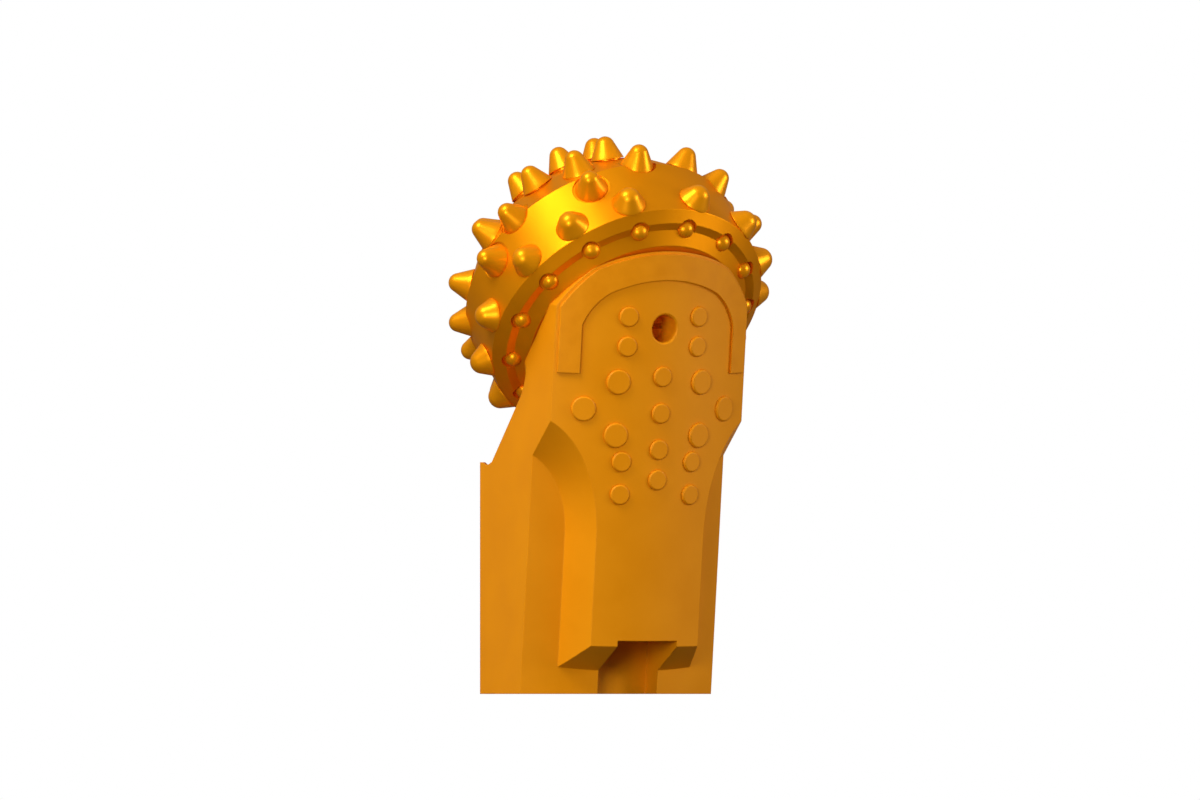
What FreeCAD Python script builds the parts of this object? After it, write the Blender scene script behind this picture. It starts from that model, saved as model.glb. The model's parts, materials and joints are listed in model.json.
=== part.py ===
"""Roller cone bit: a forged leg whose bearing pin carries one cutter cone with pressed-in carbide inserts.

Row frame, in millimetres: X runs across the leg, Y from its outer face towards its flat back, Z up.
The origin lies on the flat foot, on the leg's middle plane.
Two more frames are used. The bit frame leans forward by pad_lean: its z is the axis of the whole bit,
y runs inwards from the outer wall. The journal frame has its z along the bearing pin, and z = 0 where
the cutter's heel has its sharp rim.
"""
import FreeCAD, Part
import math
import os

Vector = FreeCAD.Vector
Placement = FreeCAD.Placement
Rotation = FreeCAD.Rotation

# Where the two frames lie: the middle of the cutter's heel rim is set from the wall and the leg's top
bit_axis_y = 100.8
pad_lean = 6.0
journal_angle = 35.3
rim_depth = 52.6
rim_below_top = 51.2

# Leg blank
leg_width = 150.0
back_face_y = 40.0
ledge_below_top = 161.4
base_radius = 173.4
base_setback = 24.1

# Raised pad on the leg's outer wall, measured on its outermost line; draft is per mm towards the axis
pad_radius = 155.6
foot_half_width = 39.8
foot_top = 123.2
foot_bottom = 48.5
foot_bevel_slope = 0.79
foot_draft = 0.373
shoulder_below_top = 95.5
shoulder_drop = 1.17
pad_root_depth = 45.6

# Shirttail: the rounded upper end of the leg
tail_top_height = 319.0
tail_side_below_top = 39.0
tail_corner_below_top = 11.3
tail_corner_half_width = 51.4
tail_corner_bulge = 1.6

# Key slot at the foot
slot_width = 46.4
slot_depth = 41.1
slot_top = 52.4

# Clearance groove that the cutter turns in, and the boss that faces the cutter's back
boss_margin = 4.2
boss_back = 12.9
groove_back = 24.2
groove_room = 39.5
groove_wall_fillet = 9.5

# Hardfacing band round the shirttail
band_height = 1.7
band_edge = 2.0
band_side_width = 13.8
band_below_top = 84.6
band_bend_drop = 12.8
band_corner_inset = 9.9
band_corner_drop = 17.7
band_corner_bulge = 2.6
band_top_drop = 19.7

# Wear buttons: diameters, columns as distances from the middle line, and places below the leg's top
button_rise = 1.6
button_chamfer = 0.8
button_grip = 8.0
small_button_diameter = 13.8
small_button_column = 27.4
small_buttons_below_top = (45.0, 65.4, 144.2, 166.7)
middle_buttons_below_top = (85.8, 110.9, 135.7, 156.4)
large_button_diameter = 17.0
large_button_column = 32.4
large_buttons_below_top = (89.8, 126.2)
edge_button_column = 54.9
edge_button_below_top = 108.7

# Ball filling hole and its plug
ball_hole_diameter = 19.0
plug_clearance = 0.04
plug_recess = 19.5
plug_slot_width = 3.3
plug_slot_depth = 3.0
plug_edge = 1.2

# Bearing pin, along the journal axis: each step of its radius, and where each stretch ends
seal_land_end = -1.5
roller_journal_step = 16.0
roller_journal_end = 31.5
ball_journal_step = 8.0
ball_journal_end = 57.0
nose_pin_step = 14.0
nose_pin_end = 78.5
pin_chamfer = 1.0

# Rolling elements
running_clearance = 0.05
roller_radius = 6.95
roller_length = 30.6
roller_start = 0.0
ball_radius = 8.75
ball_race_clearance = 0.1
ball_race_place = 48.0

# Cutter cone, its back from the heel's rim inwards: widths of the rim, the step, the slope, the flat
# back and the seal's gland
heel_radius = 98.7
rim_width = 7.9
step_width = 6.0
slope_width = 8.8
back_width = 8.0
gland_width = 8.0
step_depth = 5.6
cone_back_gap = 1.0

# Cutter cone, outside: each edge by its drop in radius and its step along the axis from the edge before
shoulder_flare = 0.8
shoulder_place = 45.9
second_edge_drop = 15.6
second_edge_step = 24.0
third_edge_drop = 20.3
third_edge_step = 21.2
nose_edge_drop = 30.6
nose_edge_step = 10.4
nose_crown = 1.5

# Cutter cone, inside
seal_gland_wall = 0.5
race_shoulder_gap = 0.5
ball_bore_gap = 0.5
bushing_wall = 5.0
thrust_washer_thickness = 2.0
thrust_washer_gap = 1.0
thrust_gap = 0.2
bushing_length = 20.8
thrust_button_radius = 13.0
thrust_button_length = 8.0
nose_pin_gap = 0.3

# Seal ring
seal_length = 8.4
seal_gap = 0.4
seal_edge = 1.5

# Inserts: base and tip diameters, cone height, grip depth, and how far the base overhangs the grip
insert_base_diameter = 22.9
insert_tip_diameter = 11.8
insert_height = 12.1
insert_grip = 11.0
insert_overhang = 2.2
heel_base_diameter = 23.4
heel_tip_diameter = 14.3
heel_height = 8.1
heel_grip = 8.0
nose_grip = 10.0
nose_height = 8.1
spot_face_margin = 1.3

# Insert rows: where the axis meets the cutter's skin, past or before an edge, depth of the seat below it
heel_row_place = 10.9
heel_seat_depth = 0.3
staggered_row_gap = 11.9
staggered_seat_depth = 1.1
shoulder_row_gap = 3.8
shoulder_seat_depth = 2.6
middle_row_gap = 13.7
middle_seat_depth = 0.3
second_row_gap = 3.3
second_seat_depth = 0.2
third_row_gap = 0.15
third_seat_depth = 0.3
nose_row_gap = 0.2
nose_seat_depth = 0.3
nose_tip_seat_depth = 0.6

# Insert rows: tilt from the plane across the pin, then the pitch angles, all in degrees
heel_row = (0.0, (8, 25, 48.5, 77.5, 107.5, 132, 154.5, 184, 208.5, 231.5, 254.5, 277.5, 300, 322.5, 345))
staggered_row = (0.0, (31, 118, 167, 243, 289, 338))
shoulder_row = (18.0, (2, 51.5, 94, 151, 208.5, 226, 270, 314))
middle_row = (33.0, (25, 65.5, 118, 166, 194.5, 246, 292, 338))
second_edge_row = (45.0, (5, 100, 137, 265, 315))
third_edge_row = (57.0, (20, 97, 119, 147, 184, 232, 275, 318))
nose_row = (76.0, (30, 120, 210, 300))

# Domed gauge buttons, square to the ring inside the step at the back of the cutter
gauge_diameter = 11.8
gauge_count = 15
gauge_first_angle = 10.0
gauge_offset = 1.0
gauge_collar = 0.6
gauge_rise = 4.6
gauge_grip = 7.0
gauge_spot_margin = 1.1

# Construction lengths that only have to reach past the part
far = 500.0
under_foot = -60.0
past_surface = 15.0


def full_complement(rolling_radius, pitch_radius):
    """How many balls or rollers fill a circle and still run clear of each other."""
    return int(math.pi / math.asin((rolling_radius + running_clearance / 2.0) / pitch_radius))


half_width = leg_width / 2.0
base_centre_y = base_radius - (pad_radius - base_setback)
slot_floor_radius = pad_radius - slot_depth
rim_inset = pad_radius - rim_depth
rim_height = tail_top_height - rim_below_top
tail_side_height = tail_top_height - tail_side_below_top
tail_corner_height = tail_top_height - tail_corner_below_top
shoulder_height = tail_top_height - shoulder_below_top

step_outer_radius = heel_radius - rim_width
step_inner_radius = step_outer_radius - step_width
cone_back_radius = step_inner_radius - slope_width
seal_gland_radius = cone_back_radius - back_width
seal_land_radius = seal_gland_radius - gland_width
roller_journal_radius = seal_land_radius - roller_journal_step
ball_journal_radius = roller_journal_radius - ball_journal_step
nose_pin_radius = ball_journal_radius - nose_pin_step
bushing_radius = nose_pin_radius + bushing_wall
boss_radius = cone_back_radius + boss_margin

roller_pitch_radius = roller_journal_radius + running_clearance + roller_radius
roller_race_radius = roller_pitch_radius + roller_radius + running_clearance
roller_count = full_complement(roller_radius, roller_pitch_radius)
ball_pitch_radius = ball_journal_radius + ball_bore_gap / 2.0
ball_race_radius = ball_radius + ball_race_clearance
ball_count = full_complement(ball_radius, ball_pitch_radius)
thrust_face = ball_journal_end + thrust_gap
bushing_start = thrust_face + thrust_washer_thickness
bushing_end = bushing_start + bushing_length
thrust_button_start = nose_pin_end + nose_pin_gap
thrust_button_end = thrust_button_start + thrust_button_length
cone_back_depth = boss_back - cone_back_gap
seal_gland_end = seal_land_end + seal_gland_wall

shoulder_radius = heel_radius + shoulder_flare
second_edge_radius = shoulder_radius - second_edge_drop
second_edge_place = shoulder_place + second_edge_step
third_edge_radius = second_edge_radius - third_edge_drop
third_edge_place = second_edge_place + third_edge_step
nose_edge_radius = third_edge_radius - nose_edge_drop
nose_edge_place = third_edge_place + nose_edge_step
nose_place = nose_edge_place + nose_crown
groove_radius = shoulder_radius + groove_room

outer_profile = [
    (heel_radius, 0.0), (shoulder_radius, shoulder_place), (second_edge_radius, second_edge_place),
    (third_edge_radius, third_edge_place), (nose_edge_radius, nose_edge_place), (0.0, nose_place),
]

bit_frame = Placement(Vector(0, bit_axis_y, 0), Rotation(Vector(1, 0, 0), pad_lean))
journal_in_bit = Placement(
    Vector(0, -rim_inset, rim_height), Rotation(Vector(1, 0, 0), journal_angle - 90.0)
)
journal_frame = bit_frame.multiply(journal_in_bit)


def placed(shape, placement):
    """A copy of the shape, moved by the placement."""
    moved = shape.copy()
    moved.Placement = placement.multiply(moved.Placement)
    return moved


def box(low, high):
    """A box between two corners."""
    size = [high[i] - low[i] for i in range(3)]
    return Part.makeBox(size[0], size[1], size[2], Vector(*low))


def point_list_edges(points):
    """Edges through (u, v) points in the XZ plane; a point with a third value ends an arc that it bulges."""
    edges = []
    for start, end in zip(points, points[1:]):
        first = Vector(start[0], 0, start[1])
        last = Vector(end[0], 0, end[1])
        if len(end) == 2:
            edges.append(Part.makeLine(first, last))
        else:
            middle = Vector(end[2][0], 0, end[2][1])
            edges.append(Part.Arc(first, middle, last).toShape())
    return edges


def revolved(points):
    """A solid turned about the z axis from a closed outline of (radius, z) points."""
    wire = Part.Wire(point_list_edges(list(points) + [points[0][:2]]))
    return Part.Face(wire).revolve(Vector(0, 0, 0), Vector(0, 0, 1), 360.0)


def quarter_arc(centre, start, end):
    """The (u, v) point half way round the arc from start to end about the centre."""
    radius = math.dist(centre, start)
    across = [(start[i] + end[i]) / 2.0 - centre[i] for i in range(2)]
    length = math.hypot(*across)
    return (centre[0] + across[0] / length * radius, centre[1] + across[1] / length * radius)


def ring(inner, outer, start, end, chamfer=0.0):
    """A bush or washer between two radii and two places on the z axis."""
    if chamfer == 0.0:
        return revolved([(inner, start), (outer, start), (outer, end), (inner, end)])
    return revolved([
        (inner, start + chamfer), (inner + chamfer, start),
        (outer - chamfer, start), (outer, start + chamfer),
        (outer, end - chamfer), (outer - chamfer, end),
        (inner + chamfer, end), (inner, end - chamfer),
    ])


def outline_face(points, depth_y):
    """A flat face from (x, z) points, set at a y depth."""
    wire = Part.Wire(point_list_edges(points + [points[0][:2]]))
    wire.translate(Vector(0, depth_y, 0))
    return Part.Face(wire)


def right_and_left(half):
    """A closed outline that mirrors its right half, listed from the bottom up to a top point on x = 0."""
    outline = list(half)
    arcs_back = [point[2] if len(point) == 3 else None for point in half[1:]]
    for point, arc in zip(reversed(half[:-1]), reversed(arcs_back)):
        mirrored = (-point[0], point[1])
        outline.append(mirrored + ((-arc[0], arc[1]),) if arc else mirrored)
    return outline


def bulged(start, end, bulge):
    """The (u, v) point that lies a bulge outside the middle of the chord from start to end."""
    length = math.dist(start, end)
    normal = ((end[1] - start[1]) / length, (start[0] - end[0]) / length)
    return tuple((start[i] + end[i]) / 2.0 + bulge * normal[i] for i in range(2))


def arch(side, corner, top, bulge, bottom):
    """The outline of a round-topped tongue: straight sides, bent corners and one arc over the top."""
    over_top = arc_through(corner, top)
    half = [(side[0], bottom), side, corner + (bulged(side, corner, bulge),), (0.0, top) + (over_top,)]
    return right_and_left(half)


def arc_through(corner, top):
    """The (u, v) point half way along the top arc from a corner to the top point on x = 0."""
    rise = top - corner[1]
    radius = (corner[0] ** 2 + rise ** 2) / (2.0 * rise)
    half_turn = math.asin(corner[0] / radius) / 2.0
    return (radius * math.sin(half_turn), top - radius * (1.0 - math.cos(half_turn)))


def tail_face():
    """The leg's outline seen square to its outer wall, from under the foot to the shirttail's top."""
    side = (half_width, tail_side_height)
    corner = (tail_corner_half_width, tail_corner_height)
    return outline_face(arch(side, corner, tail_top_height, tail_corner_bulge, under_foot), -far)


def through(face):
    """A face at y = -far, run through the whole depth of the part."""
    return face.extrude(Vector(0, 2 * far, 0))


def pad_wire(depth):
    """The raised pad's outline at a depth below its outermost line: drafted foot, waist, full width."""
    width = foot_half_width + foot_draft * depth
    shoulder = shoulder_height - shoulder_drop * depth
    across = half_width - width
    rise = shoulder - foot_top
    arc_radius = (across ** 2 + rise ** 2) / (2.0 * across)
    half_turn = math.asin(rise / arc_radius) / 2.0
    waist = (
        width + arc_radius * (1.0 - math.cos(half_turn)),
        foot_top + arc_radius * math.sin(half_turn),
    )
    half = [(width, under_foot), (width, foot_top), (half_width, shoulder, waist),
            (half_width, tail_top_height), (0.0, tail_top_height)]
    points = right_and_left(half)
    wire = Part.Wire(point_list_edges(points + [points[0][:2]]))
    wire.translate(Vector(0, depth - pad_radius, 0))
    return wire


def pad_blank():
    """The raised pad: lofted between two of its outlines, rounded to the bit's wall and bevelled below."""
    body = Part.makeLoft([pad_wire(-band_height), pad_wire(pad_root_depth)], True, True)
    wall = Part.makeCylinder(pad_radius, far, Vector(0, 0, under_foot))
    rim = (pad_radius + band_height, foot_bottom + foot_bevel_slope * band_height)
    root = (pad_radius - 2.0 * pad_root_depth, foot_bottom - foot_bevel_slope * 2.0 * pad_root_depth)
    bevel = revolved([root, (root[0], 2.0 * under_foot), (rim[0], 2.0 * under_foot), rim])
    return body.common(wall).cut(bevel)


def leg_blank():
    """The leg's forged outside in the row frame, before the groove, slot and hole are cut."""
    wall = Part.makeCylinder(base_radius, 2 * far, Vector(0, base_centre_y, under_foot))
    blank = wall.fuse(pad_blank()).common(through(tail_face()))
    blank = placed(blank, bit_frame)
    return blank.common(box((-far, -far, 0.0), (far, back_face_y, far)))


def groove_tool():
    """What the cutter's clearance groove takes away, leaving the boss round the bearing pin."""
    boss_fillet = groove_back - boss_back
    floor_start = (boss_radius + boss_fillet, -groove_back)
    boss_edge = (boss_radius, -boss_back)
    boss_middle = quarter_arc((boss_radius + boss_fillet, -boss_back), boss_edge, floor_start)
    floor_end = (groove_radius - groove_wall_fillet, -groove_back)
    wall_start = (groove_radius, groove_wall_fillet - groove_back)
    wall_centre = (groove_radius - groove_wall_fillet, groove_wall_fillet - groove_back)
    wall_middle = quarter_arc(wall_centre, floor_end, wall_start)
    return revolved([
        (0.0, -boss_back), boss_edge, floor_start + (boss_middle,), floor_end,
        wall_start + (wall_middle,), (groove_radius, far), (0.0, far),
    ])


def bearing_pin():
    """The pin forged in one with the leg's boss: seal land, roller race, ball race and nose pin."""
    pin = revolved([
        (0.0, -boss_back), (seal_land_radius, -boss_back),
        (seal_land_radius, seal_land_end - pin_chamfer), (seal_land_radius - pin_chamfer, seal_land_end),
        (roller_journal_radius, seal_land_end), (roller_journal_radius, roller_journal_end - pin_chamfer),
        (roller_journal_radius - pin_chamfer, roller_journal_end), (ball_journal_radius, roller_journal_end),
        (ball_journal_radius, ball_journal_end - pin_chamfer),
        (ball_journal_radius - pin_chamfer, ball_journal_end),
        (nose_pin_radius, ball_journal_end), (nose_pin_radius, nose_pin_end - pin_chamfer),
        (nose_pin_radius - pin_chamfer, nose_pin_end), (0.0, nose_pin_end),
    ])
    return pin.cut(ball_race())


def ball_race():
    """The round groove that the lock balls run in, half in the pin and half in the cutter."""
    return Part.makeTorus(ball_pitch_radius, ball_race_radius, Vector(0, 0, ball_race_place))


def ball_hole(diameter, outer_radius):
    """A bore from the outer wall, square to the bit axis, to the ball race on the pin's unloaded side."""
    angle = math.radians(journal_angle)
    along = ball_race_place * math.cos(angle)
    across = ball_pitch_radius * math.sin(angle)
    end_y = -rim_inset + along + across
    height = rim_height + ball_race_place * math.sin(angle) - ball_pitch_radius * math.cos(angle)
    start = Vector(0, -outer_radius, height)
    return Part.makeCylinder(diameter / 2.0, end_y + outer_radius, start, Vector(0, 1, 0)), height


def leg_and_plug():
    """The finished leg, and the plug that closes the ball hole with its end shaped to the race."""
    blank = leg_blank()
    round_groove = ring((boss_radius + groove_radius) / 2.0, far, -groove_back, far)
    above_ledge = box((-far, -far, tail_top_height - ledge_below_top), (far, far, far))
    leg = blank.cut(placed(round_groove, journal_frame).common(above_ledge))
    leg = leg.cut(placed(groove_tool(), journal_frame))
    slot = box((-slot_width / 2.0, -far, under_foot), (slot_width / 2.0, -slot_floor_radius, slot_top))
    leg = leg.cut(placed(slot, bit_frame))
    leg = leg.fuse(placed(bearing_pin(), journal_frame)).removeSplitter()

    hole, height = ball_hole(ball_hole_diameter, pad_radius + past_surface)
    plug, height = ball_hole(ball_hole_diameter - 2 * plug_clearance, pad_radius - plug_recess)
    plug = placed(plug, bit_frame).common(leg)
    hole_radius = ball_hole_diameter / 2.0
    rim = Part.makeCone(
        hole_radius + 2 * plug_edge, hole_radius, 2 * plug_edge,
        Vector(0, -pad_radius - plug_edge, height), Vector(0, 1, 0),
    )
    leg = leg.cut(placed(hole, bit_frame)).cut(placed(rim, bit_frame))
    face_y = plug_recess - pad_radius
    slot = box(
        (-ball_hole_diameter, face_y - plug_slot_depth, height - plug_slot_width / 2.0),
        (ball_hole_diameter, face_y + plug_slot_depth, height + plug_slot_width / 2.0),
    )
    plug = plug.cut(placed(slot, bit_frame))
    return leg, plug


def hardfacing_band():
    """The raised U of weld metal that follows the shirttail's edge."""
    outer_wire = tail_face().OuterWire.makeOffset2D(-band_edge)
    side = (half_width - band_edge - band_side_width, tail_side_height - band_bend_drop)
    corner = (tail_corner_half_width - band_corner_inset, tail_corner_height - band_corner_drop)
    top = tail_top_height - band_top_drop
    inner_face = outline_face(arch(side, corner, top, band_corner_bulge, under_foot), -far)
    shell = ring(pad_radius, pad_radius + band_height, tail_top_height - band_below_top, tail_top_height)
    front = box((-far, -far, 0.0), (far, 0.0, far))
    band = shell.common(front).common(through(Part.Face(outer_wire))).cut(through(inner_face))
    return placed(band, bit_frame)


def wear_button(diameter):
    """A flat-topped button on z, its seat on the pad's wall at z = 0."""
    radius = diameter / 2.0
    return revolved([
        (0.0, -button_grip), (radius, -button_grip), (radius, button_rise - button_chamfer),
        (radius - button_chamfer, button_rise), (0.0, button_rise),
    ])


def on_pad(x, below_top):
    """The placement of a button square to the pad's round wall, at a distance below the leg's top."""
    angle = math.asin(x / pad_radius)
    spot = Vector(x, -pad_radius * math.cos(angle), tail_top_height - below_top)
    upright = Rotation(Vector(1, 0, 0), 90.0)
    turned = Rotation(Vector(0, 0, 1), math.degrees(angle))
    return bit_frame.multiply(Placement(spot, turned.multiply(upright)))


def wear_button_places():
    """Placements of the small and of the large wear buttons."""
    small = [on_pad(0.0, below) for below in middle_buttons_below_top]
    large = []
    for side in (-1, 1):
        small += [on_pad(side * small_button_column, below) for below in small_buttons_below_top]
        large += [on_pad(side * large_button_column, below) for below in large_buttons_below_top]
        large.append(on_pad(side * edge_button_column, edge_button_below_top))
    return small, large


def insert(base_diameter, tip_diameter, height, grip):
    """A carbide insert on z: a straight grip below z = 0, then a wider blunt cone with a round tip."""
    base = base_diameter / 2.0
    tip = tip_diameter / 2.0
    shank = base - insert_overhang
    taper = math.atan((base - tip) / height)
    tip_radius = tip / math.cos(taper)
    centre = height - tip_radius * math.sin(taper)
    half = (math.pi / 2.0 - taper) / 2.0
    middle = (tip_radius * math.sin(half), centre + tip_radius * math.cos(half))
    top = centre + tip_radius
    return revolved([
        (0.0, -grip), (shank, -grip), (shank, 0.0), (base, 0.0), (tip, height), (0.0, top, middle),
    ])


def skin_radius(place):
    """The radius of the cutter's outer skin at a place along the journal axis."""
    for (low_radius, low), (high_radius, high) in zip(outer_profile, outer_profile[1:]):
        if low <= place <= high:
            return low_radius + (high_radius - low_radius) * (place - low) / (high - low)
    return 0.0


def row_places(place, depth, tilt, angles):
    """Placements in the journal frame of a row's seats, which lie a depth below the cutter's skin."""
    lean = math.radians(tilt)
    radius = skin_radius(place) - depth * math.cos(lean)
    return ring_places(radius, place - depth * math.sin(lean), tilt, angles)


def ring_places(radius, place, tilt, angles):
    """Placements round the journal axis at one radius and place, tilted from the plane across the axis."""
    seat = Placement(Vector(radius, 0, place), Rotation(Vector(0, 1, 0), 90.0 - tilt))
    return [Placement(Vector(), Rotation(Vector(0, 0, 1), -angle)).multiply(seat) for angle in angles]


def gauge_button():
    """A domed button on z, its seat at z = 0."""
    radius = gauge_diameter / 2.0
    rise = gauge_rise - gauge_collar
    dome_radius = (radius ** 2 + rise ** 2) / (2.0 * rise)
    half = math.asin(radius / dome_radius) / 2.0
    middle = (dome_radius * math.sin(half), gauge_rise - dome_radius * (1.0 - math.cos(half)))
    return revolved([
        (0.0, -gauge_grip), (radius, -gauge_grip), (radius, gauge_collar), (0.0, gauge_rise, middle),
    ])


def gauge_places():
    """Placements of the gauge buttons in the journal frame."""
    run = step_inner_radius - cone_back_radius
    drop = cone_back_depth - step_depth
    length = math.hypot(run, drop)
    radius = step_inner_radius + gauge_offset * run / length
    place = gauge_offset * drop / length - step_depth
    angles = [gauge_first_angle + 360.0 / gauge_count * index for index in range(gauge_count)]
    return ring_places(radius, place, -math.degrees(math.atan2(run, drop)), angles)


def insert_rows():
    """Each row of inserts by name: seat placements, then one insert's base, tip, height and grip."""
    common_form = (insert_base_diameter, insert_tip_diameter, insert_height, insert_grip)
    heel_form = (heel_base_diameter, heel_tip_diameter, heel_height, heel_grip)
    nose_form = (insert_base_diameter, heel_tip_diameter, nose_height, nose_grip)
    staggered_place = shoulder_place - staggered_row_gap
    shoulder_row_place = shoulder_place + shoulder_row_gap
    middle_place = shoulder_place + middle_row_gap
    second_place = second_edge_place + second_row_gap
    third_place = third_edge_place + third_row_gap
    nose_row_place = nose_edge_place + nose_row_gap
    rows = {
        "heel_inserts": (heel_row_place, heel_seat_depth, heel_row, heel_form),
        "staggered_inserts": (staggered_place, staggered_seat_depth, staggered_row, common_form),
        "shoulder_inserts": (shoulder_row_place, shoulder_seat_depth, shoulder_row, common_form),
        "middle_inserts": (middle_place, middle_seat_depth, middle_row, common_form),
        "second_edge_inserts": (second_place, second_seat_depth, second_edge_row, common_form),
        "third_edge_inserts": (third_place, third_seat_depth, third_edge_row, common_form),
        "nose_inserts": (nose_row_place, nose_seat_depth, nose_row, nose_form),
    }
    seats = {name: (row_places(place, depth, *row), form) for name, (place, depth, row, form) in rows.items()}
    tip_seat = Placement(Vector(0, 0, nose_place - nose_tip_seat_depth), Rotation())
    seats["nose_tip_insert"] = ([tip_seat], nose_form)
    return seats


def socket_cuts(place, diameter, grip, face_diameter):
    """The socket of one insert, with the spot face that its base rests on, as cutting solids."""
    socket = Part.makeCylinder(diameter / 2.0, grip + past_surface, Vector(0, 0, -grip))
    cuts = [placed(socket, place)]
    if face_diameter > diameter:
        cuts.append(placed(Part.makeCylinder(face_diameter / 2.0, past_surface), place))
    return cuts


def cone_shell():
    """The cutter cone, forged and turned in one piece, with its races, sockets and spot faces."""
    race_step = roller_journal_end + race_shoulder_gap
    ball_bore = ball_journal_radius + ball_bore_gap
    back = [
        (seal_gland_radius, -cone_back_depth), (cone_back_radius, -cone_back_depth),
        (step_inner_radius, -step_depth), (step_outer_radius, -step_depth),
    ]
    bore = [
        (0.0, thrust_button_end), (thrust_button_radius, thrust_button_end),
        (thrust_button_radius, bushing_end), (bushing_radius, bushing_end), (bushing_radius, bushing_start),
        (ball_bore, bushing_start), (ball_bore, race_step), (roller_race_radius, race_step),
        (roller_race_radius, seal_gland_end), (seal_gland_radius, seal_gland_end),
    ]
    shell = revolved(back + outer_profile + bore).cut(ball_race())
    cuts = []
    for name, (places, (base_diameter, tip_diameter, height, grip)) in insert_rows().items():
        plain_seat = name in ("heel_inserts", "nose_tip_insert")
        margin = 0.0 if plain_seat else spot_face_margin
        shank_diameter = base_diameter - 2 * insert_overhang
        for place in places:
            cuts += socket_cuts(place, shank_diameter, grip, base_diameter + 2 * margin)
    for place in gauge_places():
        cuts += socket_cuts(place, gauge_diameter, gauge_grip, gauge_diameter + 2 * gauge_spot_margin)
    return shell.cut(cuts)


def rollers():
    """The full complement of bearing rollers between pin and cutter."""
    roller = Part.makeCylinder(roller_radius, roller_length, Vector(roller_pitch_radius, 0, roller_start))
    return round_axis(roller, roller_count)


def lock_balls():
    """The full complement of balls that keep the cutter on the pin."""
    ball = Part.makeSphere(ball_radius, Vector(ball_pitch_radius, 0, ball_race_place))
    return round_axis(ball, ball_count)


def round_axis(shape, count):
    """Copies of a shape, evenly spaced round the z axis."""
    turns = [Rotation(Vector(0, 0, 1), 360.0 / count * index) for index in range(count)]
    return [placed(shape, Placement(Vector(), turn)) for turn in turns]


def in_journal(shapes):
    """Solids of the journal frame, moved to the row frame as one group."""
    return Part.makeCompound([placed(shape, journal_frame) for shape in shapes])


def build():
    """Every node of the part, by name."""
    nodes = {}
    leg, plug = leg_and_plug()
    small_places, large_places = wear_button_places()
    small_button = wear_button(small_button_diameter)
    large_button = wear_button(large_button_diameter)
    seats = []
    for diameter, places in ((small_button_diameter, small_places), (large_button_diameter, large_places)):
        for place in places:
            seats += socket_cuts(place, diameter, button_grip, diameter)
    nodes["leg"] = leg.cut(seats)
    nodes["ball_plug"] = plug
    nodes["hardfacing_band"] = hardfacing_band()
    nodes["small_wear_buttons"] = Part.makeCompound([placed(small_button, place) for place in small_places])
    nodes["large_wear_buttons"] = Part.makeCompound([placed(large_button, place) for place in large_places])

    nodes["cone_shell"] = placed(cone_shell(), journal_frame)
    for name, (places, form) in insert_rows().items():
        one = insert(*form)
        nodes[name] = in_journal([placed(one, place) for place in places])
    nodes["gauge_buttons"] = in_journal([placed(gauge_button(), place) for place in gauge_places()])

    seal_end = seal_gland_end - seal_gap
    seal_bore = seal_land_radius + running_clearance
    seal = ring(seal_bore, seal_gland_radius, seal_end - seal_length, seal_end, seal_edge)
    nodes["seal_ring"] = in_journal([seal])
    nodes["bearing_rollers"] = in_journal(rollers())
    nodes["lock_balls"] = in_journal(lock_balls())
    washer = ring(nose_pin_radius + thrust_washer_gap, ball_journal_radius, thrust_face, bushing_start)
    nodes["thrust_washer"] = in_journal([washer])
    bushing = ring(nose_pin_radius + running_clearance, bushing_radius, bushing_start, bushing_end)
    nodes["nose_bushing"] = in_journal([bushing])
    button = Part.makeCylinder(thrust_button_radius, thrust_button_length, Vector(0, 0, thrust_button_start))
    nodes["thrust_button"] = in_journal([button])
    return nodes


os.makedirs("parts", exist_ok=True)
for node_name, node_shape in build().items():
    for solid in node_shape.Solids:
        if not solid.isValid():
            print("not valid:", node_name)
    print(node_name, len(node_shape.Solids), "solids, volume", round(node_shape.Volume / 1000.0, 2), "cm3")
    node_shape.exportStep("parts/" + node_name + ".step")
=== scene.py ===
# %% [markdown]
# # A roller cone bit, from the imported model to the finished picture
# The part is one leg of a rock bit with the cutter that rolls on it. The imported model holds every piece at
# its true size, so nothing has to be modelled twice. This lesson then gives each piece its real surface:
# forged, turned or ground metal under one golden coat. It ends with the light and the camera.

import json
import math

import bpy
import numpy as np
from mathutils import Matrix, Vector


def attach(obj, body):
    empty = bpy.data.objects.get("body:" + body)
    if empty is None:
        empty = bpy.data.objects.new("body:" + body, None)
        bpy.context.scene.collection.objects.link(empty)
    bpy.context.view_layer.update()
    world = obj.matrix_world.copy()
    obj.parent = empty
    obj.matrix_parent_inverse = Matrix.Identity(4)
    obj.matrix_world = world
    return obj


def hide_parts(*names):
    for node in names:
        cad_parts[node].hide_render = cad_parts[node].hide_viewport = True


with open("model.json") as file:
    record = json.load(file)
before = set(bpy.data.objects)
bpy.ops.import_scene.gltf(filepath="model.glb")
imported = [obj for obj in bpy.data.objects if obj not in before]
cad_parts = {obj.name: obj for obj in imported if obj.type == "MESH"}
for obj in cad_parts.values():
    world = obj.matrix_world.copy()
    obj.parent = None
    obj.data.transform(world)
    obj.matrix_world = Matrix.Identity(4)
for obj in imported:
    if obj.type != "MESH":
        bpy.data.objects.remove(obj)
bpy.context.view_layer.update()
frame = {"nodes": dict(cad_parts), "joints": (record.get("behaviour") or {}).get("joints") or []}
scene = bpy.context.scene
scene.view_settings.view_transform = "Standard"
MM = 0.001

# %% [markdown]
# ## Colours and nodes
# Colours are picked as sRGB hex values, as on a paint card. Blender computes with linear light, so one
# function turns them over. Shader nodes could be placed by hand in the editor. In a script, one function
# that adds any node with its settings and its links keeps each material short enough to read. Some nodes,
# such as Math and Mix, give several inputs the same name, so an input can also go by its number.


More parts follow.
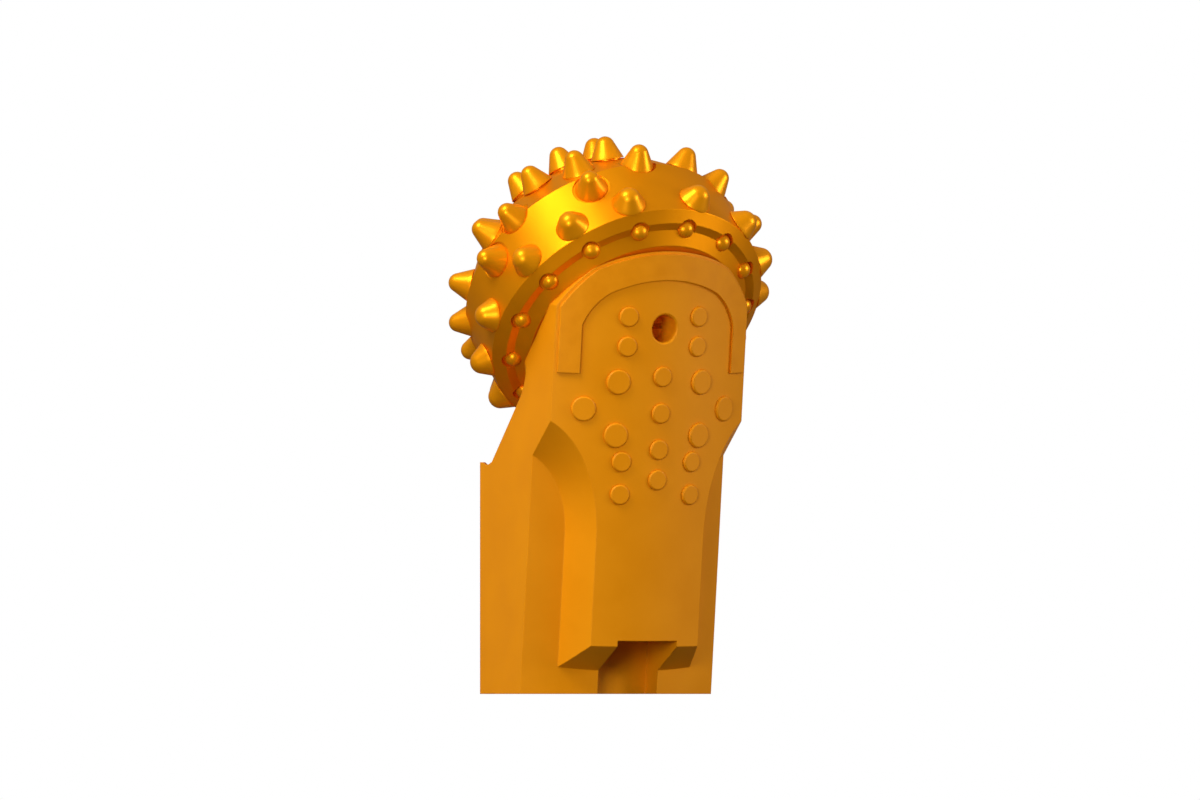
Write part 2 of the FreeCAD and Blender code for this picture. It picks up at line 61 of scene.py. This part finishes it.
# %% Two helpers for materials
def linear(hex_colour):
    """A linear RGBA colour from an sRGB hex value: the sRGB curve undone for each channel.

    Near black the curve is a straight line; above it, it is a power of the shifted value.
    """
    line_end, line_slope, shift, power = 0.04045, 12.92, 0.055, 2.4
    channels = [int(hex_colour[i:i + 2], 16) / 255.0 for i in (1, 3, 5)]
    light = [c / line_slope if c <= line_end else ((c + shift) / (1.0 + shift)) ** power for c in channels]
    return (*light, 1.0)


def add_node(tree, kind, settings=None, links=None):
    """Adds a shader node.

    Settings are properties or input values, and links are the sockets that feed its inputs. An input goes
    by its name or its number.
    """
    made = tree.nodes.new(kind)
    for name, value in (settings or {}).items():
        if isinstance(name, str) and hasattr(made, name):
            setattr(made, name, value)
        else:
            made.inputs[name].default_value = value
    for name, socket in (links or {}).items():
        tree.links.new(socket, made.inputs[name])
    return made


# In a Mix node for colours these inputs are the two colours, and this output is their blend.
COLOUR_A, COLOUR_B, COLOUR_OUT = 6, 7, 2
print("a mid grey in linear light:", round(linear("#808080")[0], 3))


# %% An empty material
def new_material(name):
    """A node material with nothing in it yet, and its tree to fill."""
    material = bpy.data.materials.new(name)
    material.use_nodes = True
    material.node_tree.nodes.clear()
    return material, material.node_tree


# %% [markdown]
# ## Golden coat on forged steel
# The leg is a drop forging, milled on some faces and then coated golden orange all over. The coat is
# thin, so the eye sees a slow change of tone a few centimetres across, and a fine orange peel about a
# millimetre across that breaks the gloss. A painted image could show this, but it would stretch on such a
# form. Two noise textures in the piece's own coordinates give the two scales everywhere. A Bevel node
# bends the shading at the edges, because a coated edge is never quite sharp and catches a line of light.
# The weld metal, the cone and the carbide wear the same coat over other grounds. So one function makes all
# four, each with its own peel, gloss and share of bare metal.


# %% The coat, for every golden surface
# A noise rarely leaves its middle values, so this part of it is spread from one tone to the other.
NOISE_LOW, NOISE_HIGH = 0.3, 0.7
gloss_spread = 0.04
peel_strength = 0.5
edge_samples = 6
# The coat mirrors less than clear lacquer does, and what it mirrors turns a little warm.
coat_specular, coat_specular_tint = 0.2, "#FFE2B4"


def scale_for(size_mm):
    """Noise scale in Object coordinates, which are metres, for a pattern about size_mm across."""
    return 1.0 / (size_mm * MM)


def golden_coat(name, light, dark, tone_mm, peel_mm, peel_height_mm, roughness, metallic, edge_mm):
    """Coated metal: two tones mixed over tone_mm, a peel bump of peel_mm, uneven gloss and soft edges."""
    material, tree = new_material(name)
    place = {"Vector": add_node(tree, "ShaderNodeTexCoord").outputs["Object"]}
    tone = add_node(tree, "ShaderNodeTexNoise", {"Scale": scale_for(tone_mm), "Detail": 3.0}, place)
    peel = add_node(tree, "ShaderNodeTexNoise", {"Scale": scale_for(peel_mm), "Detail": 2.0}, place)
    middle = {"From Min": NOISE_LOW, "From Max": NOISE_HIGH}
    ramp = add_node(tree, "ShaderNodeMapRange", middle, {"Value": tone.outputs["Fac"]})
    colour = add_node(
        tree, "ShaderNodeMix", {"data_type": "RGBA", COLOUR_A: linear(dark), COLOUR_B: linear(light)},
        {"Factor": ramp.outputs["Result"]},
    )
    gloss_range = {"To Min": roughness - gloss_spread, "To Max": roughness + gloss_spread}
    gloss = add_node(tree, "ShaderNodeMapRange", {**middle, **gloss_range}, {"Value": tone.outputs["Fac"]})
    edge = add_node(tree, "ShaderNodeBevel", {"samples": edge_samples, "Radius": edge_mm * MM})
    bump = add_node(
        tree, "ShaderNodeBump", {"Strength": peel_strength, "Distance": peel_height_mm * MM},
        {"Height": peel.outputs["Fac"], "Normal": edge.outputs["Normal"]},
    )
    shader = add_node(
        tree, "ShaderNodeBsdfPrincipled",
        {
            "Metallic": metallic,
            "Specular IOR Level": coat_specular,
            "Specular Tint": linear(coat_specular_tint),
        },
        {
            "Base Color": colour.outputs[COLOUR_OUT],
            "Roughness": gloss.outputs["Result"],
            "Normal": bump.outputs["Normal"],
        },
    )
    add_node(tree, "ShaderNodeOutputMaterial", None, {"Surface": shader.outputs["BSDF"]})
    print(name, "has a peel", peel_mm, "mm across")
    return material


# %% The golden coats on their four grounds
# The forging keeps a satin coat with no metal glitter: a wide, soft gloss.
forged_coat = golden_coat(
    "golden_coat_on_forging", "#EC9209", "#E68C05", tone_mm=35.0, peel_mm=1.4, peel_height_mm=0.02,
    roughness=0.45, metallic=0.0, edge_mm=0.9,
)
# The weld metal under the coat is rougher, so its gloss breaks up sooner.
weld_coat = golden_coat(
    "golden_coat_on_hardfacing", "#EA9009", "#E28805", tone_mm=12.0, peel_mm=0.9, peel_height_mm=0.05,
    roughness=0.48, metallic=0.0, edge_mm=0.9,
)
# The turned cone is smooth and its thin coat lets the metal through: a strong golden sheen that falls off
# to brown where no lamp is mirrored.
turned_coat = golden_coat(
    "golden_coat_on_turned_cone", "#F59704", "#F09103", tone_mm=40.0, peel_mm=1.2, peel_height_mm=0.012,
    roughness=0.44, metallic=0.75, edge_mm=0.6,
)
# Ground carbide is the smoothest of all, so each tip carries a small sharp light.
carbide_coat = golden_coat(
    "golden_coat_on_ground_carbide", "#F59A05", "#F09404", tone_mm=18.0, peel_mm=0.6, peel_height_mm=0.006,
    roughness=0.35, metallic=0.5, edge_mm=0.2,
)


# %% [markdown]
# ## Bare bearing metals and rubber
# Rollers, balls, bushing and seal lie inside the cutter, where no picture shows them. They could share
# one grey, but the cutter can be taken off, so each gets the finish that its making leaves: ground steel,
# turned bronze and moulded nitrile rubber. One noise gives both the grain's tone and its tiny relief. A
# real grain of some hundredths of a millimetre would not show, so it is drawn near a millimetre coarse.


# %% Bare materials
grain_strength = 0.4


def bare_material(name, light, dark, grain_mm, roughness, metallic, bump_mm):
    """A bare surface with a grain of grain_mm in its tone and its bump."""
    material, tree = new_material(name)
    place = {"Vector": add_node(tree, "ShaderNodeTexCoord").outputs["Object"]}
    grain = add_node(tree, "ShaderNodeTexNoise", {"Scale": scale_for(grain_mm), "Detail": 4.0}, place)
    colour = add_node(
        tree, "ShaderNodeMix", {"data_type": "RGBA", COLOUR_A: linear(dark), COLOUR_B: linear(light)},
        {"Factor": grain.outputs["Fac"]},
    )
    bump = add_node(
        tree, "ShaderNodeBump", {"Strength": grain_strength, "Distance": bump_mm * MM},
        {"Height": grain.outputs["Fac"]},
    )
    shader = add_node(
        tree, "ShaderNodeBsdfPrincipled", {"Metallic": metallic, "Roughness": roughness},
        {"Base Color": colour.outputs[COLOUR_OUT], "Normal": bump.outputs["Normal"]},
    )
    add_node(tree, "ShaderNodeOutputMaterial", None, {"Surface": shader.outputs["BSDF"]})
    print(name, "has a grain", grain_mm, "mm across")
    return material


# Ground bearing steel is bright and almost a mirror.
ground_steel = bare_material(
    "ground_bearing_steel", "#C4C6C8", "#A9ABAE", grain_mm=0.8, roughness=0.22, metallic=1.0, bump_mm=0.004
)
# Turned bronze is warm and a little duller than steel.
turned_bronze = bare_material(
    "turned_bearing_bronze", "#C89A5A", "#AD7F42", grain_mm=1.0, roughness=0.35, metallic=1.0, bump_mm=0.006
)
# Nitrile rubber is black and matt.
nitrile = bare_material(
    "nitrile_seal_rubber", "#1C1C1D", "#121213", grain_mm=0.5, roughness=0.6, metallic=0.0, bump_mm=0.02
)


# %% [markdown]
# ## The pin's own axes
# The cutter turns about the bearing pin, which leans upwards and back. Its inserts could be placed in
# the leg's axes with much trigonometry. It is simpler to count them in the pin's own axes, as the lathe
# does: x across the leg, z along the pin and y square to both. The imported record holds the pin's axis.

# %% Axes of the pin, read from the joint
spin = next(joint for joint in frame["joints"] if joint["name"] == "cone_spin")
pin_origin = np.array(spin["pos_m"], float)
pin_z = np.array(spin["axis"], float) / np.linalg.norm(spin["axis"])
pin_x = np.array([1.0, 0.0, 0.0])
pin_y = np.cross(pin_z, pin_x)
print("pin leans", round(math.degrees(math.asin(pin_z[2])), 2), "degrees above level")


def pin_place(radius_mm, place_mm, tilt_deg, angle_deg):
    """Origin and axes of a seat in the row frame: out from the pin by the angle, tilted towards the nose."""
    angle = math.radians(angle_deg)
    tilt = math.radians(tilt_deg)
    out = pin_x * math.cos(angle) - pin_y * math.sin(angle)
    normal = out * math.cos(tilt) + pin_z * math.sin(tilt)
    across = np.cross(pin_z, out)
    origin = pin_origin + (out * radius_mm + pin_z * place_mm) * MM
    return origin, np.stack([across, np.cross(normal, across), normal])


# %% [markdown]
# ## Turned shapes
# Inserts and buttons are ground while they spin, so each is a profile carried round an axis. Blender's
# Screw modifier could do that. With numpy the whole surface is one formula: each point of the profile has
# a radius and a height, and the grid is the radii times the cosines and sines of the turn. A single point
# closes each end.


# %% A surface of revolution on a grid
def arc_points(centre, radius, start, end, count):
    """Points (centre + radius (sin a, cos a)) for angles a from start to end, measured from the axis."""
    angles = np.linspace(start, end, count)
    return np.stack([centre[0] + radius * np.sin(angles), centre[1] + radius * np.cos(angles)], axis=1)


def lathe_grid(profile, segments):
    """Profile carried round z: x is radius times cosine of the turn, y radius times sine, z the height.

    The first and last points of the profile lie on the axis and close the surface as poles.
    """
    turn = np.linspace(0.0, 2.0 * np.pi, segments, endpoint=False)
    ring = profile[1:-1]
    x = np.outer(ring[:, 0], np.cos(turn))
    y = np.outer(ring[:, 0], np.sin(turn))
    z = np.repeat(ring[:, 1:2], segments, axis=1)
    poles = [[0.0, 0.0, profile[0, 1]], [0.0, 0.0, profile[-1, 1]]]
    points = np.concatenate([np.stack([x, y, z], axis=2).reshape(-1, 3), poles])
    row = np.arange(len(ring) - 1)[:, None] * segments
    here = np.arange(segments)[None, :]
    after = (here + 1) % segments
    quads = np.stack([row + here, row + after, row + segments + after, row + segments + here], axis=2)
    last = (len(ring) - 1) * segments
    low_pole, high_pole = len(points) - 2, len(points) - 1
    here, after = here[0], after[0]
    low_fan = np.stack([np.full(segments, low_pole), after, here], axis=1)
    high_fan = np.stack([np.full(segments, high_pole), last + here, last + after], axis=1)
    return points, quads.reshape(-1, 4), np.concatenate([low_fan, high_fan])


# %% The same surface at many seats
# Edges sharper than this stay crisp, as where a cone meets its straight grip.
sharp_edge = math.radians(35.0)


def repeated_mesh(name, grid, places):
    """One mesh with the grid at every place: a point in mm times the place's axes, plus its origin."""
    points, quads, fans = grid
    origins = np.array([origin for origin, axes in places])
    turns = np.array([axes for origin, axes in places])
    everywhere = np.einsum("pk,nkj->npj", points * MM, turns) + origins[:, None, :]
    shift = np.arange(len(places))[:, None, None] * len(points)
    all_quads = (quads[None] + shift).reshape(-1, 4)
    all_fans = (fans[None] + shift).reshape(-1, 3)
    mesh = bpy.data.meshes.new(name)
    mesh.from_pydata(everywhere.reshape(-1, 3), [], all_quads.tolist() + all_fans.tolist())
    mesh.shade_smooth()
    mesh.set_sharp_from_angle(angle=sharp_edge)
    return mesh


def finished_piece(name, mesh, material, body, slot, *nodes):
    """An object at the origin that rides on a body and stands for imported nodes."""
    piece = bpy.data.objects.new(name, mesh)
    scene.collection.objects.link(piece)
    mesh.materials.clear()
    mesh.materials.append(material)
    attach(piece, body)
    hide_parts(*nodes)
    print(name, len(mesh.polygons), "faces")
    return piece


# %% [markdown]
# ## Carbide inserts
# An insert is a blunt cone with a round tip, pressed into its socket by its straight grip. Its base is
# wider than the grip and rests on the spot face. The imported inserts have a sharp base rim, and a bevel on
# their loose triangles would be rough. So they are made again, with the small round that the grinder
# leaves. Tip and cone are tangent, so the tip's radius follows from the cone's slope.

# %% Insert forms, in mm
rim_round = 0.3
overhang = 2.2
rim_points, cone_points, dome_points = 6, 5, 12
insert_forms = {
    "common": {"base": 22.9, "tip": 11.8, "height": 12.1, "grip": 11.0},
    "heel": {"base": 23.4, "tip": 14.3, "height": 8.1, "grip": 8.0},
    "nose": {"base": 22.9, "tip": 14.3, "height": 8.1, "grip": 10.0},
}


def insert_profile(base, tip, height, grip):
    """Profile in mm from the grip's end to the tip: grip, overhang, rounded rim, cone line, tangent dome."""
    half_base, half_tip = base / 2.0, tip / 2.0
    shank = half_base - overhang
    slope = math.atan((half_base - half_tip) / height)
    dome = half_tip / math.cos(slope)
    centre = height - dome * math.sin(slope)
    low = [[0.0, -grip], [shank, -grip], [shank, 0.0], [half_base - rim_round, 0.0]]
    rim_centre = (half_base - rim_round, rim_round)
    cone_facing = math.pi / 2.0 - slope
    rim = arc_points(rim_centre, rim_round, math.pi, cone_facing, rim_points)[1:]
    cone = np.linspace(rim[-1], [half_tip, height], cone_points)[1:]
    top = arc_points((0.0, centre), dome, cone_facing, 0.0, dome_points)[1:]
    return np.concatenate([low, rim, cone, top])


print("insert forms:", ", ".join(insert_forms))


# %% [markdown]
# On the real cutter the rows are staggered unevenly, so that it doesn't run in its own tracks. An array
# round the axis would space them evenly. Each row is therefore a list of angles round the pin, with the
# place where its axis meets the cutter's skin, how deep the seat is sunk below it and the tilt to the nose.

# %% Insert rows
# The cutter's turned skin as radius and place along the pin, in mm.
skin = np.array([[98.7, 0.0], [99.5, 45.9], [83.9, 69.9], [63.6, 91.1], [33.0, 101.5], [0.0, 103.0]])
# For each row: its form, its place along the pin and sink in mm, its tilt and its angles in degrees.
insert_rows = {
    "heel_inserts": (
        "heel", 10.9, 0.3, 0.0,
        (8, 25, 48.5, 77.5, 107.5, 132, 154.5, 184, 208.5, 231.5, 254.5, 277.5, 300, 322.5, 345),
    ),
    "staggered_inserts": ("common", 34.0, 1.1, 0.0, (31, 118, 167, 243, 289, 338)),
    "shoulder_inserts": ("common", 49.7, 2.6, 18.0, (2, 51.5, 94, 151, 208.5, 226, 270, 314)),
    "middle_inserts": ("common", 59.6, 0.3, 33.0, (25, 65.5, 118, 166, 194.5, 246, 292, 338)),
    "second_edge_inserts": ("common", 73.2, 0.2, 45.0, (5, 100, 137, 265, 315)),
    "third_edge_inserts": ("common", 91.25, 0.3, 57.0, (20, 97, 119, 147, 184, 232, 275, 318)),
    "nose_inserts": ("nose", 101.7, 0.3, 76.0, (30, 120, 210, 300)),
}
insert_segments = 56
print(sum(len(row[-1]) for row in insert_rows.values()), "inserts in", len(insert_rows), "rows")


def seat_places(place, sink, tilt, angles):
    """Seats of one row: the skin's radius is read off its profile, then the seat is sunk along its axis."""
    radius = float(np.interp(place, skin[:, 1], skin[:, 0])) - sink * math.cos(math.radians(tilt))
    height = place - sink * math.sin(math.radians(tilt))
    return [pin_place(radius, height, tilt, angle) for angle in angles]


# %% The rows and the insert on the tip
for row_name, (form, place, sink, tilt, angles) in insert_rows.items():
    grid = lathe_grid(insert_profile(**insert_forms[form]), insert_segments)
    row_mesh = repeated_mesh("ground_" + row_name, grid, seat_places(place, sink, tilt, angles))
    finished_piece("ground_" + row_name, row_mesh, carbide_coat, "cone", "carbide", row_name)

tip_grid = lathe_grid(insert_profile(**insert_forms["nose"]), insert_segments)
tip_seat = 102.4
tip_place = (pin_origin + pin_z * tip_seat * MM, np.stack([pin_x, pin_y, pin_z]))
tip_mesh = repeated_mesh("ground_nose_tip_insert", tip_grid, [tip_place])
finished_piece("ground_nose_tip_insert", tip_mesh, carbide_coat, "cone", "carbide", "nose_tip_insert")

# %% [markdown]
# ## Gauge buttons
# Fifteen domed buttons stand square to the ring inside the step at the back of the cutter. They rub
# along the wall of the hole and keep it to size. They are turned forms as well, so the same grid serves,
# with a short collar and a spherical dome as its profile.

# %% Gauge buttons
# Sizes are in mm. The first button's angle is in degrees, and the offset moves all seats out along the step.
gauge = {"diameter": 11.8, "collar": 0.6, "rise": 4.6, "grip": 7.0, "count": 15, "first": 10.0, "offset": 1.0}
button_segments = 40
# The step's two edges as radius and place along the pin.
ring_outer, ring_inner = (84.8, -5.6), (76.0, -11.9)
ring_run, ring_drop = ring_outer[0] - ring_inner[0], ring_outer[1] - ring_inner[1]
ring_length = math.hypot(ring_run, ring_drop)
gauge_tilt = -math.degrees(math.atan2(ring_run, ring_drop))
gauge_radius = ring_outer[0] + gauge["offset"] * ring_run / ring_length
gauge_height = ring_outer[1] + gauge["offset"] * ring_drop / ring_length
print("gauge buttons tilt", round(gauge_tilt, 1), "degrees, at radius", round(gauge_radius, 2), "mm")


def button_profile():
    """Grip, short collar and a spherical dome through the collar's rim and the top."""
    half = gauge["diameter"] / 2.0
    rise = gauge["rise"] - gauge["collar"]
    dome = (half ** 2 + rise ** 2) / (2.0 * rise)
    grip = [[0.0, -gauge["grip"]], [half, -gauge["grip"]], [half, gauge["collar"]]]
    top = arc_points((0.0, gauge["rise"] - dome), dome, math.asin(half / dome), 0.0, dome_points)[1:]
    return np.concatenate([grip, top])


gauge_angles = gauge["first"] + 360.0 / gauge["count"] * np.arange(gauge["count"])
gauge_places = [pin_place(gauge_radius, gauge_height, gauge_tilt, angle) for angle in gauge_angles]
gauge_grid = lathe_grid(button_profile(), button_segments)
gauge_mesh = repeated_mesh("ground_gauge_buttons", gauge_grid, gauge_places)
finished_piece("ground_gauge_buttons", gauge_mesh, carbide_coat, "cone", "carbide", "gauge_buttons")

# %% [markdown]
# ## Forged and turned bodies
# The leg is forged and milled, the cutter's cone is turned, and the wear buttons are pressed in flush
# but for a chamfer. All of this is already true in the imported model, and its surface normals come from the
# exact surfaces. Remade meshes would only lose that, so these pieces keep theirs and only get a finish.

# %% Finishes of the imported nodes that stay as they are
node_finishes = {
    "leg": forged_coat,
    "hardfacing_band": weld_coat,
    "cone_shell": turned_coat,
    "small_wear_buttons": forged_coat,
    "large_wear_buttons": forged_coat,
    "ball_plug": forged_coat,
    "bearing_rollers": ground_steel,
    "lock_balls": ground_steel,
    "thrust_button": ground_steel,
    "thrust_washer": turned_bronze,
    "nose_bushing": turned_bronze,
    "seal_ring": nitrile,
}
for node_name, material in node_finishes.items():
    node_mesh = frame["nodes"][node_name].data
    node_mesh.materials.clear()
    node_mesh.materials.append(material)
print(len(node_finishes), "packed nodes keep their meshes")

# %% [markdown]
# ## Floor and backdrop
# The part stands on its foot in front of white. A strong light on a white floor would do it, but its
# bounce would fill the faces that look down, and in the picture they are dark. So the floor and the
# world are white to the camera, a little of that to metal that mirrors them, and dim to everything else.
# The floor still keeps the part's shadow. Further out the lamps hardly reach it. There it fades into plain
# white, so that no edge shows behind the part.

# %% What sees the pale backdrop
mirror_share = 0.12


def backdrop_view(tree):
    """1 for camera rays and glass, mirror_share for mirrored rays, and 0 for light that falls on things."""
    path = add_node(tree, "ShaderNodeLightPath").outputs
    mirrored = add_node(
        tree, "ShaderNodeMath", {"operation": "MULTIPLY", 1: mirror_share}, {0: path["Is Glossy Ray"]}
    )
    seen = path["Is Camera Ray"]
    for ray in (path["Is Transmission Ray"], mirrored.outputs["Value"]):
        seen = add_node(tree, "ShaderNodeMath", {"operation": "MAXIMUM"}, {0: seen, 1: ray}).outputs["Value"]
    return seen


print("metal mirrors", mirror_share, "of the white")


# %% Floor: its paint
white = linear("#FFFFFF")
floor_white, floor_dark, floor_roughness = "#F4F4F4", "#2E2C2A", 0.9
fade_start, fade_end = 0.35, 1.3

floor_paint, tree = new_material("pale_floor_paint")
seen = backdrop_view(tree)
floor_colour = add_node(
    tree, "ShaderNodeMix", {"data_type": "RGBA", COLOUR_A: linear(floor_dark), COLOUR_B: linear(floor_white)},
    {"Factor": seen},
)
matt = add_node(
    tree, "ShaderNodeBsdfPrincipled", {"Roughness": floor_roughness},
    {"Base Color": floor_colour.outputs[COLOUR_OUT]},
)
place = add_node(tree, "ShaderNodeTexCoord").outputs["Object"]
distance = add_node(tree, "ShaderNodeVectorMath", {"operation": "LENGTH"}, {"Vector": place})
fade = add_node(
    tree, "ShaderNodeMapRange",
    {"interpolation_type": "SMOOTHSTEP", "From Min": fade_start, "From Max": fade_end},
    {"Value": distance.outputs["Value"]},
)
fade_seen = add_node(
    tree, "ShaderNodeMath", {"operation": "MULTIPLY"}, {0: fade.outputs["Result"], 1: seen}
)
plain = add_node(tree, "ShaderNodeEmission", {"Color": white, "Strength": 1.0})
blend = add_node(
    tree, "ShaderNodeMixShader", None,
    {"Fac": fade_seen.outputs["Value"], 1: matt.outputs["BSDF"], 2: plain.outputs["Emission"]},
)
add_node(tree, "ShaderNodeOutputMaterial", None, {"Surface": blend.outputs["Shader"]})
print("the floor fades to white from", fade_start, "to", fade_end, "m")

# %% Floor: its surface
reach = 6.0
corners = [(-reach, -reach, 0.0), (reach, -reach, 0.0), (reach, reach, 0.0), (-reach, reach, 0.0)]
floor_mesh = bpy.data.meshes.new("studio_floor")
floor_mesh.from_pydata(corners, [], [(0, 1, 2, 3)])
floor_mesh.materials.append(floor_paint)
floor = bpy.data.objects.new("studio_floor", floor_mesh)
scene.collection.objects.link(floor)
print("floor", 2 * reach, "m wide")

# %% World: white to the camera, a dim dome that grows brighter upwards to the object
dome_low, dome_high = 0.06, 0.35
dome_from, dome_to = -0.2, 0.9
world = bpy.data.worlds.new("studio_dome")
scene.world = world
world.use_nodes = True
tree = world.node_tree
tree.nodes.clear()
way = add_node(tree, "ShaderNodeTexCoord").outputs["Generated"]
height = add_node(tree, "ShaderNodeSeparateXYZ", None, {"Vector": way})
dome_level = add_node(
    tree, "ShaderNodeMapRange",
    {"From Min": dome_from, "From Max": dome_to, "To Min": dome_low, "To Max": dome_high},
    {"Value": height.outputs["Z"]},
)
level = add_node(
    tree, "ShaderNodeMix", {"B": 1.0}, {"Factor": backdrop_view(tree), "A": dome_level.outputs["Result"]}
)
dome = add_node(tree, "ShaderNodeBackground", {"Color": white}, {"Strength": level.outputs["Result"]})
add_node(tree, "ShaderNodeOutputWorld", None, {"Surface": dome.outputs["Background"]})
print("dome from", dome_low, "below to", dome_high, "above")

# %% [markdown]
# ## Camera and lamps
# The picture has no perspective: the leg's edges stay parallel from top to bottom. So the camera is
# orthographic, level and 30 degrees to the side. Three square lamps stand round it. The key comes from
# high on the left and models the cutter, the front lamp reaches into the recesses, and a weaker one on the
# right keeps the far side from going dark. Sun lamps could do this too, but square ones soften the edges
# of the shadows and show as broad lights on the cone.

# %% Camera at the picture's angle
turn = math.radians(-30.0)
camera_back = Vector((math.sin(turn), -math.cos(turn), 0.0))
camera_right = Vector((math.cos(turn), math.sin(turn), 0.0))
up = Vector((0.0, 0.0, 1.0))
picture_centre = Vector((40.75, 77.3, 199.9)) * MM
picture_width = 0.816
camera_distance = 2.0

camera_data = bpy.data.cameras.new("picture_camera")
camera_data.type = "ORTHO"
camera_data.ortho_scale = picture_width
camera = bpy.data.objects.new("picture_camera", camera_data)
scene.collection.objects.link(camera)
camera.location = picture_centre + camera_back * camera_distance
camera.rotation_euler = (-camera_back).to_track_quat("-Z", "Y").to_euler()
scene.camera = camera
print("camera sees", round(picture_width / MM), "mm across")


# %% Lamps, placed round the camera's line of sight
def soft_lamp(name, right, back, above, size, watts):
    """A square lamp that faces the part; its place is counted from the picture's centre."""
    data = bpy.data.lights.new(name, "AREA")
    data.size = size
    data.energy = watts
    lamp = bpy.data.objects.new(name, data)
    scene.collection.objects.link(lamp)
    way = camera_right * right + camera_back * back + up * above
    lamp.location = picture_centre + way
    lamp.rotation_euler = (-way).to_track_quat("-Z", "Y").to_euler()
    print(name, watts, "W")


soft_lamp("key_lamp", right=-1.04, back=1.04, above=1.63, size=1.0, watts=38.0)
soft_lamp("front_lamp", right=-0.6, back=2.1, above=0.15, size=0.7, watts=19.0)
soft_lamp("fill_lamp", right=2.15, back=0.4, above=0.5, size=0.9, watts=21.0)
